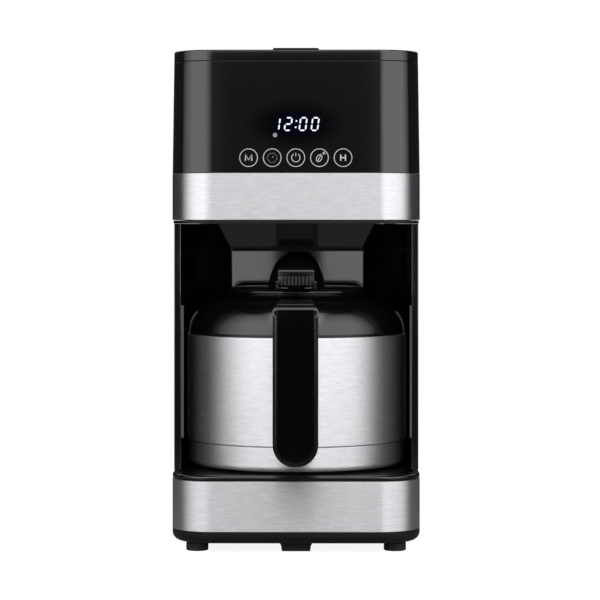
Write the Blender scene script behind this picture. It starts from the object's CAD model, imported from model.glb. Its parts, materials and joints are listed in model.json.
import json
import math

import bmesh
import bpy
from bpy.props import FloatProperty, FloatVectorProperty, IntProperty, PointerProperty
from bpy.types import Operator, Panel, PropertyGroup
from mathutils import Matrix, Vector


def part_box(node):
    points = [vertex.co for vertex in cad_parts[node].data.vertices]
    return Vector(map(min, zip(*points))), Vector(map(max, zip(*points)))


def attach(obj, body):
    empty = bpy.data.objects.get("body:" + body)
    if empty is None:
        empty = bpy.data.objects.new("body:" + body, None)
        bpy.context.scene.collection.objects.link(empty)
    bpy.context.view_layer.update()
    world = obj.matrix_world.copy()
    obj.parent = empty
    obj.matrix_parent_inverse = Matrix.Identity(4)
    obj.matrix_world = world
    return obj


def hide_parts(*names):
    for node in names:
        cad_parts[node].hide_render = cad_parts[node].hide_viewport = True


bl_info = {
    "name": "Drip Coffee Maker",
    "version": (1, 0, 0),
    "blender": (4, 5, 0),
    "location": "View3D > Sidebar > Coffee Maker",
    "description": "Builds a narrow drip coffee maker with an insulated steel carafe",
    "category": "Add Mesh",
}

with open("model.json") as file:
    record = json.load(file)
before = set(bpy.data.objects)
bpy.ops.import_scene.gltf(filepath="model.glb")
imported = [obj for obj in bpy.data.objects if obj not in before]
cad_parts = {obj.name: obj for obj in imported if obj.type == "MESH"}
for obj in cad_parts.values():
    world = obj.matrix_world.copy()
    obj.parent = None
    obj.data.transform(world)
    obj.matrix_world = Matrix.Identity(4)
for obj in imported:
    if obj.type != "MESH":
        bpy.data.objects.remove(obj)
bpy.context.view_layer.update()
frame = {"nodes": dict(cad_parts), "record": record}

MM = 0.001  # sizes below are in millimetres, and meshes are made in metres
GAP = 0.3  # clearance round a piece that is let into another


def box_mm(node):
    """The lowest and highest corner of a CAD node, in millimetres."""
    low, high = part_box(node)
    return Vector(low) / MM, Vector(high) / MM


PAN_LOW, PAN_HIGH = box_mm("base_pan")
SHELL_LOW, SHELL_HIGH = box_mm("carafe_shell")
LID_LOW, LID_HIGH = box_mm("top_lid")
CASING_LOW, CASING_HIGH = box_mm("head_shell")
_, BAND_HIGH = box_mm("head_band")
HINGE_LOW, HINGE_HIGH = box_mm("lid_hinge_pin")

FRONT, REAR = PAN_LOW.y, PAN_HIGH.y
HALF_WIDTH = PAN_HIGH.x
AXIS_Y = (SHELL_LOW.y + SHELL_HIGH.y) / 2
AXIS = (0, AXIS_Y)  # the carafe's and the filter basket's common upright axis, in plan
CARAFE_RADIUS = SHELL_HIGH.x
HINGE_Y = (HINGE_LOW.y + HINGE_HIGH.y) / 2
HINGE_Z = (HINGE_LOW.z + HINGE_HIGH.z) / 2
DIGIT_BOTTOM = 303.1  # the feet of the clock's digits, above the table


# ---- Sizes and colours that a user would change ----
def size(label, about, value):
    """A length, given here in millimetres and kept in metres."""
    kind = {"unit": "LENGTH", "subtype": "DISTANCE", "precision": 4}
    return FloatProperty(name=label, description=about, default=value * MM, min=0.0, **kind)


def number(label, about, value, low=1):
    return IntProperty(name=label, description=about, default=value, min=low)


def colour(label, about, value):
    kind = {"size": 3, "min": 0.0, "max": 1.0, "subtype": "COLOR"}
    return FloatVectorProperty(name=label, description=about, default=value, **kind)


class CoffeeMakerSizes(PropertyGroup):
    corner: size("Corner radius", "Plan radius of the machine's upright corners", 30)
    band_thickness: size("Band thickness", "Thickness of the two steel bands", 1)
    key_radius: size("Key radius", "Radius of the printed ring round each touch key", 6.35)
    key_pitch: size("Key pitch", "Distance from one touch key to the next", 16.9)
    key_count: number("Keys", "Number of touch keys in the row", 5)
    digit_height: size("Digit height", "Height of the clock's digits", 10.0)
    spring_turns: number("Spring turns", "Turns of the drip stop's spring", 4)
    turned_sides: number("Turned sides", "Sides of the carafe's round pieces", 128, 16)


class CoffeeMakerFinishes(PropertyGroup):
    gloss: colour("Gloss plastic", "Colour of the polished black casing", (0.004, 0.004, 0.0045))
    satin: colour("Satin plastic", "Colour of the satin black pieces", (0.003, 0.003, 0.0034))
    rubber: colour("Rubber", "Colour of the feet and the cord gland", (0.014, 0.014, 0.014))
    steel: colour("Brushed steel", "Colour of the bands and the carafe", (0.60, 0.60, 0.62))
    light: colour("Display light", "Colour of the clock's digits", (0.80, 0.86, 1.0))
    print_ink: colour("Key print", "Colour of the rings and symbols on the keys", (0.30, 0.30, 0.31))


# ---- Shader and geometry node trees ----
class Nodes:
    """Adds nodes to a tree and links them by socket."""

    def __init__(self, tree):
        self.tree = tree
        tree.nodes.clear()

    def add(self, kind, inputs=None, **settings):
        node = self.tree.nodes.new(kind)
        for key, value in settings.items():
            setattr(node, key, value)
        for key, value in (inputs or {}).items():
            if isinstance(value, bpy.types.NodeSocket):
                self.tree.links.new(value, node.inputs[key])
            else:
                node.inputs[key].default_value = value
        return node

    def place(self):
        """Where a point lies in its piece's own coordinates."""
        return self.add("ShaderNodeTexCoord").outputs["Object"]

    def noise(self, vector, scale, detail=2.0, roughness=0.5):
        inputs = {"Vector": vector, "Scale": scale, "Detail": detail, "Roughness": roughness}
        return self.add("ShaderNodeTexNoise", inputs).outputs["Fac"]

    def stretched(self, vector, scale):
        return self.add("ShaderNodeMapping", {"Vector": vector, "Scale": scale}).outputs["Vector"]

    def ramp(self, value, low, high, to_low=0.0, to_high=1.0):
        inputs = {"Value": value, "From Min": low, "From Max": high, "To Min": to_low, "To Max": to_high}
        return self.add("ShaderNodeMapRange", inputs).outputs["Result"]

    def mixed(self, factor, *colours):
        """A blend of two colours, each of them a socket or a plain colour."""
        first, second = (c if isinstance(c, bpy.types.NodeSocket) else (*c, 1) for c in colours)
        return self.add("ShaderNodeMix", {0: factor, 6: first, 7: second}, data_type="RGBA").outputs[2]

    def maths(self, operation, first, second=0.0):
        return self.add("ShaderNodeMath", {0: first, 1: second}, operation=operation).outputs[0]

    def vector_maths(self, operation, first, second=(0, 0, 0)):
        node = self.add("ShaderNodeVectorMath", {0: first, 1: second}, operation=operation)
        return node.outputs["Value" if operation == "LENGTH" else "Vector"]

    def bump(self, height, strength, distance):
        inputs = {"Height": height, "Strength": strength, "Distance": distance}
        return self.add("ShaderNodeBump", inputs).outputs["Normal"]


def new_material(name):
    material = bpy.data.materials.new(name)
    material.use_nodes = True
    return material, Nodes(material.node_tree)


def shader(nodes, links, **constants):
    """The surface: links go to named sockets, and constants are set on the shader itself."""
    surface = nodes.add("ShaderNodeBsdfPrincipled", {**links, **constants})
    nodes.add("ShaderNodeOutputMaterial", {"Surface": surface.outputs["BSDF"]})


def shade(base, factor):
    return tuple(min(1.0, channel * factor) for channel in base)


def moulded(name, base, roughness, grain=1800.0, depth=0.00002, strength=0.25, variation=0.03, specular=0.5):
    """Moulded plastic or rubber: fine grain, faint handling marks and slightly uneven gloss."""
    material, nodes = new_material(name)
    place = nodes.place()
    marks = nodes.noise(place, 26.0, 5.0, 0.62)
    fine = nodes.noise(place, grain, 3.0, 0.6)
    gloss = nodes.ramp(marks, 0.3, 0.7, roughness - variation, roughness + variation)
    tint = nodes.mixed(marks, shade(base, 0.85), shade(base, 1.2))
    links = {"Base Color": tint, "Roughness": gloss, "Normal": nodes.bump(fine, strength, depth)}
    shader(nodes, links, **{"Specular IOR Level": specular})
    return material


def brushed(name, base, roughness=0.45, anisotropy=0.9, streak=1500.0, metallic=1.0):
    """Steel brushed level: long fine scratches round the piece, closely spaced up it."""
    material, nodes = new_material(name)
    place = nodes.place()
    fine = nodes.noise(nodes.stretched(place, (220, 220, streak)), 1.0, 4.0, 0.7)
    broad = nodes.noise(nodes.stretched(place, (80, 80, streak * 0.5)), 1.0, 3.0, 0.6)
    clouds = nodes.noise(place, 18.0, 3.0, 0.5)
    scratches = nodes.maths("ADD", fine, broad)
    tint = nodes.mixed(nodes.ramp(scratches, 0.7, 1.3), shade(base, 0.86), shade(base, 1.1))
    uneven = nodes.maths("ADD", scratches, clouds)
    gloss = nodes.ramp(uneven, 1.1, 1.9, roughness - 0.05, roughness + 0.06)
    around = nodes.add("ShaderNodeTangent", direction_type="RADIAL", axis="Z").outputs["Tangent"]
    links = {"Base Color": tint, "Roughness": gloss, "Tangent": around}
    links["Normal"] = nodes.bump(scratches, 0.10, 0.00006)
    quarter_turn = 0.25  # lays the highlight across the scratches
    constants = {"Metallic": metallic, "Anisotropic": anisotropy, "Anisotropic Rotation": quarter_turn}
    shader(nodes, links, **constants)
    return material


def plain_metal(name, base, roughness, grain=300.0, strength=0.2):
    """Turned, drawn or cast metal with faint unevenness."""
    material, nodes = new_material(name)
    spots = nodes.noise(nodes.place(), grain, 4.0, 0.6)
    tint = nodes.mixed(spots, shade(base, 0.85), shade(base, 1.12))
    gloss = nodes.ramp(spots, 0.3, 0.7, roughness - 0.05, roughness + 0.07)
    normal = nodes.bump(spots, strength, 0.00005)
    shader(nodes, {"Base Color": tint, "Roughness": gloss, "Normal": normal}, Metallic=1.0)
    return material


def casing_plastic(name, base, roughness):
    """Polished black that is darkest round the clock, with a faint blue stain from the light behind it."""
    material, nodes = new_material(name)
    place = nodes.place()
    marks = nodes.noise(place, 26.0, 5.0, 0.62)
    gloss = nodes.ramp(marks, 0.3, 0.7, roughness - 0.01, roughness + 0.01)
    clock = (0.0, FRONT * MM, (DIGIT_BOTTOM + 5) * MM)
    patch = (0.030, 0.030, 0.015)  # how far the stain reaches across, in and up
    offset = nodes.vector_maths("SUBTRACT", place, clock)
    reach = nodes.vector_maths("LENGTH", nodes.vector_maths("DIVIDE", offset, patch))
    away = nodes.ramp(reach, 0.45, 1.3)
    tint = nodes.mixed(away, shade(base, 0.1), base)
    glow = nodes.mixed(nodes.ramp(reach, 0.3, 0.75), (0.0015, 0.0012, 0.008), (0.0, 0.0, 0.0))
    mirror = nodes.ramp(away, 0.0, 1.0, 0.05, 0.5)
    links = {"Base Color": tint, "Roughness": gloss, "Specular IOR Level": mirror, "Emission Color": glow}
    links["Normal"] = nodes.bump(nodes.noise(place, 900.0, 3.0), 0.04, 0.00001)
    shader(nodes, links, **{"Emission Strength": 1.0})
    return material


def clear_plastic(name, base):
    """Smoke-tinted clear plastic with faint haze."""
    material, nodes = new_material(name)
    haze = nodes.noise(nodes.place(), 30.0, 4.0, 0.6)
    gloss = nodes.ramp(haze, 0.3, 0.7, 0.08, 0.2)
    tint = nodes.mixed(haze, shade(base, 0.9), shade(base, 1.1))
    shader(nodes, {"Base Color": tint, "Roughness": gloss}, IOR=1.49, Alpha=0.45)
    return material


def lit_plastic(name, base, strength):
    """A light pipe with a slightly uneven glow."""
    material, nodes = new_material(name)
    flicker = nodes.noise(nodes.place(), 700.0, 2.0, 0.5)
    glow = nodes.mixed(flicker, shade(base, 0.88), shade(base, 1.08))
    dull = nodes.mixed(flicker, shade(base, 0.05), shade(base, 0.08))
    links = {"Base Color": dull, "Emission Color": glow}
    shader(nodes, links, **{"Emission Strength": strength, "Roughness": 0.4})
    return material


def board_laminate(name, base):
    """A printed board: green lacquer over a faint pattern of copper tracks."""
    material, nodes = new_material(name)
    place = nodes.place()
    cells = nodes.add("ShaderNodeTexBrick", {"Vector": place, "Scale": 260.0, "Mortar Size": 0.03})
    for key, factor in (("Color1", 1.0), ("Color2", 1.25), ("Mortar", 2.2)):
        cells.inputs[key].default_value = (*shade(base, factor), 1)
    gloss = nodes.ramp(nodes.noise(place, 90.0, 3.0), 0.3, 0.7, 0.35, 0.55)
    shader(nodes, {"Base Color": cells.outputs["Color"], "Roughness": gloss})
    return material


MATERIALS = {}


def make_materials(finishes):
    """One material for each finish, keyed by the record's slot names and a few of this script's own."""
    gloss, satin, steel = tuple(finishes.gloss), tuple(finishes.satin), tuple(finishes.steel)
    light, ink, rubber = tuple(finishes.light), tuple(finishes.print_ink), tuple(finishes.rubber)
    polish = {"grain": 900.0, "depth": 0.00001, "strength": 0.04, "variation": 0.012}
    glass = {"grain": 900.0, "depth": 0.00001, "strength": 0.03, "variation": 0.015}
    soft = {"grain": 900.0, "depth": 0.00004, "strength": 0.3, "variation": 0.06, "specular": 0.4}
    matt = {"grain": 2200.0, "depth": 0.00003, "strength": 0.35, "variation": 0.05, "specular": 0.2}
    rough = {"grain": 1500.0, "depth": 0.00005, "strength": 0.4, "variation": 0.08, "specular": 0.3}
    silky = {"grain": 2200.0, "depth": 0.00002, "strength": 0.1}
    printed = {"grain": 1500.0, "depth": 0.00002, "strength": 0.2, "variation": 0.05}
    MATERIALS.update(
        gloss_black=moulded("Polished black", gloss, 0.05, **polish),
        casing_black=casing_plastic("Casing black", gloss, 0.05),
        satin_black=moulded("Satin black", satin, 0.42, **matt),
        rubber_black=moulded("Black rubber", rubber, 0.72, **rough),
        brushed_steel=brushed("Brushed steel", steel),
        carafe_steel=brushed("Carafe steel", steel, 0.42, 0.85, 1300.0, 0.92),
        handle_black=moulded("Handle black", shade(satin, 0.5), 0.18, **silky),
        panel_black=moulded("Handle panel black", shade(gloss, 0.3), 0.05, **polish, specular=0.3),
        liner_steel=plain_metal("Drawn liner steel", shade(steel, 0.9), 0.22, 120.0, 0.08),
        screw_steel=plain_metal("Screw steel", shade(steel, 0.8), 0.3),
        heater_aluminium=plain_metal("Cast aluminium", (0.55, 0.56, 0.57), 0.5, 900.0, 0.6),
        smoke_clear=clear_plastic("Smoke clear plastic", (0.20, 0.22, 0.24)),
        silicone=moulded("Silicone", (0.62, 0.60, 0.56), 0.5, **soft),
        black_silicone=moulded("Black silicone", satin, 0.45, **soft),
        board_green=board_laminate("Printed board", (0.02, 0.09, 0.04)),
        display_dark=moulded("Display window", (0.004, 0.004, 0.006), 0.06, **glass),
        digit_light=lit_plastic("Digit light", light, 1.2),
        lamp_light=lit_plastic("Lamp light", shade(light, 0.5), 0.5),
        key_print=moulded("Key print", ink, 0.4, **printed),
    )


def start_tree(label, **sockets):
    """A new geometry tree that takes a shape, the named inputs and a material, and the sockets they give."""
    tree = bpy.data.node_groups.new(label, "GeometryNodeTree")
    tree.interface.new_socket("Geometry", in_out="INPUT", socket_type="NodeSocketGeometry")
    for name, kind in {**sockets, "Material": "Material"}.items():
        tree.interface.new_socket(name.replace("_", " "), in_out="INPUT", socket_type="NodeSocket" + kind)
    tree.interface.new_socket("Geometry", in_out="OUTPUT", socket_type="NodeSocketGeometry")
    nodes = Nodes(tree)
    return nodes, nodes.add("NodeGroupInput").outputs


def close_tree(nodes, geometry, material):
    """Ends a tree with real geometry in the given material, and returns it."""
    real = nodes.add("GeometryNodeRealizeInstances", {"Geometry": geometry})
    painted = nodes.add("GeometryNodeSetMaterial", {"Geometry": real.outputs[0], "Material": material})
    nodes.add("NodeGroupOutput", {"Geometry": painted.outputs[0]})
    return nodes.tree


def swept(nodes, path, section):
    inputs = {"Curve": path, "Profile Curve": section, "Fill Caps": True}
    return nodes.add("GeometryNodeCurveToMesh", inputs).outputs[0]


def fillet(nodes, curve, radius, count):
    inputs = {"Curve": curve, "Radius": radius, "Count": count}
    return nodes.add("GeometryNodeFilletCurve", inputs, mode="POLY").outputs[0]


def copies_tree():
    """Sets copies of the incoming shape out in rows and columns."""
    places = {"First": "Vector", "Across": "Vector", "Up": "Vector"}
    nodes, given = start_tree("Rows of copies", Columns="Int", Rows="Int", **places)
    shape = given["Geometry"]
    for count, step, start in (("Columns", "Across", given["First"]), ("Rows", "Up", (0, 0, 0))):
        inputs = {"Count": given[count], "Offset": given[step], "Start Location": start}
        line = nodes.add("GeometryNodeMeshLine", inputs)
        spread = nodes.add("GeometryNodeInstanceOnPoints", {"Points": line.outputs[0], "Instance": shape})
        shape = nodes.add("GeometryNodeRealizeInstances", {"Geometry": spread.outputs[0]}).outputs[0]
    return close_tree(nodes, shape, given["Material"])


def ring_tree():
    """Sets copies of the incoming shape out in a ring about an upright axis."""
    nodes, given = start_tree("Ring of copies", Copies="Int", Centre="Vector")
    inputs = {"Count": given["Copies"], "Start Location": given["Centre"], "Offset": (0, 0, 0)}
    points = nodes.add("GeometryNodeMeshLine", inputs)
    step = nodes.maths("DIVIDE", math.tau, given["Copies"])
    angle = nodes.maths("MULTIPLY", nodes.add("GeometryNodeInputIndex").outputs[0], step)
    facing = nodes.add("ShaderNodeCombineXYZ", {"Z": angle}).outputs[0]
    inputs = {"Points": points.outputs[0], "Instance": given["Geometry"], "Rotation": facing}
    spread = nodes.add("GeometryNodeInstanceOnPoints", inputs)
    return close_tree(nodes, spread.outputs[0], given["Material"])


def band_tree():
    """Bends a flat strip with eased edges along the incoming edges, with rounded bends."""
    sizes = ("Bend_Radius", "Thickness", "Height", "Edge_Rounding")
    nodes, given = start_tree("Strip round a path", **dict.fromkeys(sizes, "Float"))
    path = nodes.add("GeometryNodeMeshToCurve", {"Mesh": given["Geometry"]}).outputs[0]
    path = fillet(nodes, path, given["Bend Radius"], 28)
    upright = nodes.add("GeometryNodeSetCurveNormal", {"Curve": path}, mode="Z_UP").outputs[0]
    inputs = {"Width": given["Thickness"], "Height": given["Height"]}
    section = nodes.add("GeometryNodeCurvePrimitiveQuadrilateral", inputs, mode="RECTANGLE").outputs[0]
    strip = swept(nodes, upright, fillet(nodes, section, given["Edge Rounding"], 3))
    return close_tree(nodes, strip, given["Material"])


def wire_tree():
    """Turns the incoming edges into round wire, pressed flat from the front by a factor."""
    nodes, given = start_tree("Wire along edges", Radius="Float", Sides="Int", Flatness="Float")
    path = nodes.add("GeometryNodeMeshToCurve", {"Mesh": given["Geometry"]}).outputs[0]
    inputs = {"Resolution": given["Sides"], "Radius": given["Radius"]}
    section = nodes.add("GeometryNodeCurvePrimitiveCircle", inputs).outputs[0]
    wire = swept(nodes, path, section)
    squeeze = nodes.add("ShaderNodeCombineXYZ", {"X": 1.0, "Y": given["Flatness"], "Z": 1.0}).outputs[0]
    place = nodes.add("GeometryNodeInputPosition").outputs[0]
    flat = nodes.vector_maths("MULTIPLY", place, squeeze)
    pressed = nodes.add("GeometryNodeSetPosition", {"Geometry": wire, "Position": flat}).outputs[0]
    return close_tree(nodes, pressed, given["Material"])


def coil_tree():
    """A round-wire compression spring standing on its lower end."""
    sizes = ("Turns", "Coil_Radius", "Height", "Wire_Radius")
    nodes, given = start_tree("Coil spring", **dict.fromkeys(sizes, "Float"), Place="Vector")
    radius = given["Coil Radius"]
    inputs = {"Resolution": 40, "Rotations": given["Turns"], "Height": given["Height"]}
    inputs.update({"Start Radius": radius, "End Radius": radius})
    coil = nodes.add("GeometryNodeCurveSpiral", inputs).outputs[0]
    inputs = {"Resolution": 10, "Radius": given["Wire Radius"]}
    section = nodes.add("GeometryNodeCurvePrimitiveCircle", inputs).outputs[0]
    inputs = {"Geometry": swept(nodes, coil, section), "Offset": given["Place"]}
    moved = nodes.add("GeometryNodeSetPosition", inputs).outputs[0]
    return close_tree(nodes, moved, given["Material"])


TREES = {}
TREE_MAKERS = dict(copies=copies_tree, ring=ring_tree, band=band_tree, wire=wire_tree, coil=coil_tree)


def grow(obj, kind, **inputs):
    """Runs a geometry tree on a piece and keeps the result as its plain mesh."""
    if kind not in TREES:
        TREES[kind] = TREE_MAKERS[kind]()
    modifier = obj.modifiers.new(kind, "NODES")
    modifier.node_group = TREES[kind]
    for item in TREES[kind].interface.items_tree:
        key = item.name.replace(" ", "_").lower()
        if item.in_out == "INPUT" and key in inputs:
            modifier[item.identifier] = inputs.pop(key)
    if inputs:
        raise ValueError(f"{kind} has no input {sorted(inputs)}")
    return settle(obj)


# ---- Mesh tools ----
def settle(obj):
    """Replaces a piece's modifiers by the mesh that they make."""
    bpy.context.view_layer.update()
    graph = bpy.context.evaluated_depsgraph_get()
    shaped = obj.evaluated_get(graph)
    mesh = bpy.data.meshes.new_from_object(shaped, preserve_all_data_layers=True, depsgraph=graph)
    mesh.name = obj.name
    obj.modifiers.clear()
    old, obj.data = obj.data, mesh
    bpy.data.meshes.remove(old)
    return obj


def eased(points, closed=False, steps=5):
    """The outline with each corner that names a radius, as its third number, turned into an arc."""
    out = []
    for i, point in enumerate(points):
        here = Vector(point[:2])
        radius = point[2] if len(point) > 2 else 0.0
        if not radius or (not closed and i in (0, len(points) - 1)):
            out.append(here)
            continue
        before = (Vector(points[i - 1][:2]) - here).normalized()
        after = (Vector(points[(i + 1) % len(points)][:2]) - here).normalized()
        half = before.angle(after) / 2
        centre = here + (before + after).normalized() * radius / math.sin(half)
        run = radius / math.tan(half)
        start, end = here + before * run - centre, here + after * run - centre
        turn = -start.angle_signed(end)
        out += [centre + Matrix.Rotation(turn * k / steps, 2) @ start for k in range(steps + 1)]
    return out


def flowing(points, steps=6):
    """A smooth curve through the points, ends included."""
    line = [Vector(p) for p in points]
    line = [2 * line[0] - line[1], *line, 2 * line[-1] - line[-2]]
    out = []
    for i in range(1, len(line) - 2):
        for k in range(steps):
            t = k / steps
            a, b, c, d = line[i - 1 : i + 3]
            square, cube = 2 * a - 5 * b + 4 * c - d, 3 * b - a - 3 * c + d
            out.append(0.5 * (2 * b + (c - a) * t + square * t**2 + cube * t**3))
    return [*out, line[-2]]


def new_piece(name, bm):
    """A new object at the origin from a mesh in millimetres, doubles merged and faces turned out."""
    bmesh.ops.remove_doubles(bm, verts=bm.verts, dist=1e-4)
    bmesh.ops.recalc_face_normals(bm, faces=bm.faces)
    bmesh.ops.scale(bm, vec=(MM, MM, MM), verts=bm.verts)
    mesh = bpy.data.meshes.new(name)
    bm.to_mesh(mesh)
    bm.free()
    obj = bpy.data.objects.new(name, mesh)
    bpy.context.scene.collection.objects.link(obj)
    return obj


def edge_lines(name, lines):
    """A piece of bare edges, one chain for each line of points."""
    bm = bmesh.new()
    for line in lines:
        chain = [bm.verts.new(p) for p in line]
        for a, b in zip(chain, chain[1:]):
            bm.edges.new((a, b))
    return new_piece(name, bm)


def join_rings(bm, low, high):
    """Closes the gap between two rings of as many points by a strip of faces."""
    for i in range(len(low)):
        j = (i + 1) % len(low)
        bm.faces.new((low[i], low[j], high[j], high[i]))


def loft(name, rings, hoop=False):
    """A closed surface through rings of points: a hoop, or capped at both ends."""
    bm = bmesh.new()
    rows = [[bm.verts.new(p) for p in ring] for ring in rings]
    for low, high in zip(rows, rows[1:] + (rows[:1] if hoop else [])):
        join_rings(bm, low, high)
    if not hoop:
        bm.faces.new(rows[0])
        bm.faces.new(rows[-1])
    return new_piece(name, bm)


def turned(name, profile, centre=(0.0, 0.0), sides=64, closed=False):
    """A turned piece about an upright axis. The profile of (radius, height) ends on the axis or closes."""
    bm = bmesh.new()
    x, y = centre
    rows = []
    for radius, z in profile:
        angles = [math.tau * i / sides for i in range(sides if radius > 1e-6 else 1)]
        rows.append([bm.verts.new((x + radius * math.cos(a), y + radius * math.sin(a), z)) for a in angles])
    for low, high in zip(rows, rows[1:] + (rows[:1] if closed else [])):
        for i in range(sides):
            j = i + 1
            corners = [low[i % len(low)], low[j % len(low)], high[j % len(high)], high[i % len(high)]]
            face = list(dict.fromkeys(corners))
            if len(face) > 2:
                bm.faces.new(face)
    return new_piece(name, bm)


PLACES = {
    "X": lambda a, b, t: Vector((t, a, b)),
    "Y": lambda a, b, t: Vector((a, t, b)),
    "Z": lambda a, b, t: Vector((a, b, t)),
}


def prism(name, outline, axis, start, end):
    """A flat outline pulled straight along an axis. Across X it is [y, z], along Y it is [x, z]."""
    return loft(name, [[PLACES[axis](p[0], p[1], t) for p in outline] for t in (start, end)])


def block(name, low, high):
    corners = [(low[0], low[1]), (high[0], low[1]), (high[0], high[1]), (low[0], high[1])]
    return prism(name, corners, "Z", low[2], high[2])


def rod(name, radius, axis, start, end, across, sides=32):
    """A straight round rod along an axis, through the point across in the other two directions."""
    angles = [math.tau * i / sides for i in range(sides)]
    outline = [(across[0] + radius * math.cos(a), across[1] + radius * math.sin(a)) for a in angles]
    return prism(name, outline, axis, start, end)


def rounded_ring(low, high, radii, z, steps=14):
    """Points of an upright-cornered outline at height z. Radii are for the rear and the front corners."""
    rear, front = radii if isinstance(radii, tuple) else (radii, radii)
    corners = [(high[0], high[1], rear), (low[0], high[1], rear)]
    corners += [(low[0], low[1], front), (high[0], low[1], front)]
    return [Vector((*p, z)) for p in eased(corners, closed=True, steps=steps)]


def body_ring(inset, z, corner):
    low = (-HALF_WIDTH + inset, FRONT + inset)
    return rounded_ring(low, (HALF_WIDTH - inset, REAR - inset), corner - inset, z)


def well_ring(width, depth, radius, z):
    return rounded_ring((-width / 2, AXIS_Y - depth / 2), (width / 2, AXIS_Y + depth / 2), radius, z)


def combine(obj, tools, operation="DIFFERENCE"):
    """Cuts, joins or trims a piece by others, which are used up."""
    for tool in tools:
        modifier = obj.modifiers.new(operation, "BOOLEAN")
        modifier.object, modifier.operation, modifier.solver = tool, operation, "EXACT"
        settle(obj)
        bpy.data.objects.remove(tool)
    return obj


def smooth(obj, angle=32.0):
    """Smooth shading that stays flat on large flat faces."""
    mesh = obj.data
    mesh.shade_smooth()
    mesh.set_sharp_from_angle(angle=math.radians(angle))
    modifier = obj.modifiers.new("Even shading", "WEIGHTED_NORMAL")
    modifier.keep_sharp = True
    return settle(obj)


def soften(obj, width, segments=3, angle=32.0):
    """Rounds the sharp edges of a piece and shades it."""
    obj.data.shade_smooth()
    modifier = obj.modifiers.new("Edges", "BEVEL")
    modifier.width = width * MM
    modifier.segments = segments
    modifier.limit_method = "ANGLE"
    modifier.angle_limit = math.radians(angle)
    modifier.use_clamp_overlap = True
    modifier.miter_outer = "MITER_ARC"
    settle(obj)
    return smooth(obj, 40.0)


def fit(obj, body, slot, *nodes, finish=None):
    """Gives a piece its material, its body, its slot and the CAD nodes that it stands for."""
    obj.data.materials.clear()
    obj.data.materials.append(MATERIALS[finish or slot])
    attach(obj, body)
    if nodes:
        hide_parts(*nodes)
    return obj


def sizes_of(context):
    return context.scene.coffee_maker_sizes


# ---- Stage ----
EYE_HEIGHT = 236.5  # the lens is level with the gap between the carafe's lid and the head
EYE_ASIDE = 12.0
EYE_TURN = 0.313  # degrees
LENS_DISTANCE = 1650.0  # from the lens to the machine's front face
LENS, SENSOR, LENS_SHIFT = 138.4, 36.0, -0.1265

# The upright softboxes, in metres: name, its two ends on the floor plan, its lower and upper edge, its
# radiance, the share of its length that it fades over from each end, and the same down from its top.
SOFTBOXES = (
    ("Softbox left", (-0.67, -1.465), (-2.0, 0.14), 0.10, 2.8, 3.0, (0.0, 0.6), 0.6),
    ("Softbox left, inner strip", (-0.13, -2.2), (-0.67, -1.465), 0.25, 2.8, 3.0, (1.0, 0.0), 0.65),
    ("Softbox right", (0.484, -1.71), (2.0, 0.06), 0.10, 2.8, 3.0, (0.0, 0.4), 0.6),
    ("Softbox right, inner strip", (0.105, -2.2), (0.484, -1.71), 0.25, 2.8, 3.0, (1.0, 0.0), 0.65),
    ("Low panel left", (-0.19, -2.2), (-0.055, -2.2), 0.115, 0.235, 3.0),
    ("Low panel right", (0.028, -2.2), (0.16, -2.2), 0.115, 0.235, 3.0),
    ("Niche strip left", (-0.0800, -0.004), (-0.0836, -0.006), 0.075, 0.175, 0.12),
    ("Niche strip right", (0.0800, -0.004), (0.0836, -0.006), 0.075, 0.175, 0.12),
)


def area_light(name, place, aim, width, height, power):
    """A rectangular light that faces the point aim and isn't seen by the camera itself."""
    data = bpy.data.lights.new(name, "AREA")
    data.shape, data.size, data.size_y, data.energy = "RECTANGLE", width, height, power
    obj = bpy.data.objects.new(name, data)
    bpy.context.scene.collection.objects.link(obj)
    obj.location = place
    obj.rotation_euler = (Vector(aim) - Vector(place)).to_track_quat("-Z", "Y").to_euler()
    obj.visible_camera = False
    return obj


def softbox(name, start, end, low, high, radiance, fade=(0.0, 0.0), top=0.0):
    (x0, y0), (x1, y1) = start, end
    width, height = math.hypot(x1 - x0, y1 - y0), high - low
    middle = Vector(((x0 + x1) / 2, (y0 + y1) / 2, (low + high) / 2))
    inward = Vector((y1 - y0, x0 - x1, 0))
    if inward.dot(middle) > 0:
        inward.negate()
    obj = area_light(name, middle, middle + inward, width, height, radiance * math.pi * width * height)
    obj.data.use_nodes = True
    nodes = Nodes(obj.data.node_tree)
    spot = nodes.add("ShaderNodeNewGeometry").outputs["Position"]
    across, _, up = nodes.add("ShaderNodeSeparateXYZ", {0: spot}).outputs
    along = nodes.ramp(across, x0, x1)
    back, down = nodes.maths("SUBTRACT", 1.0, along), nodes.ramp(up, high, low)
    level = 1.0
    for run, share in ((along, fade[0]), (back, fade[1]), (down, top)):
        level = nodes.maths("MULTIPLY", level, nodes.ramp(run, -0.001, share))
    glow = nodes.add("ShaderNodeEmission", {"Color": (1, 1, 1, 1), "Strength": level})
    nodes.add("ShaderNodeOutputLight", {"Surface": glow.outputs[0]})


def lights():
    for box in SOFTBOXES:
        softbox(*box)
    middle = (0, 0, 0.2)
    for side, name in ((-1, "left"), (1, "right")):
        area_light(f"Rear box {name}", (side * 1.2, 1.8, 1.6), middle, 1.0, 1.0, 3)
    softbox("Front fill", (-0.5, -2.3), (0.5, -2.3), 0.62, 1.7, 1.6)
    width, depth, radiance = 1.6, 1.3, 3.0
    power = radiance * math.pi * width * depth
    area_light("Overhead box", (0, -1.1, 1.7), middle, width, depth, power)


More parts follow.
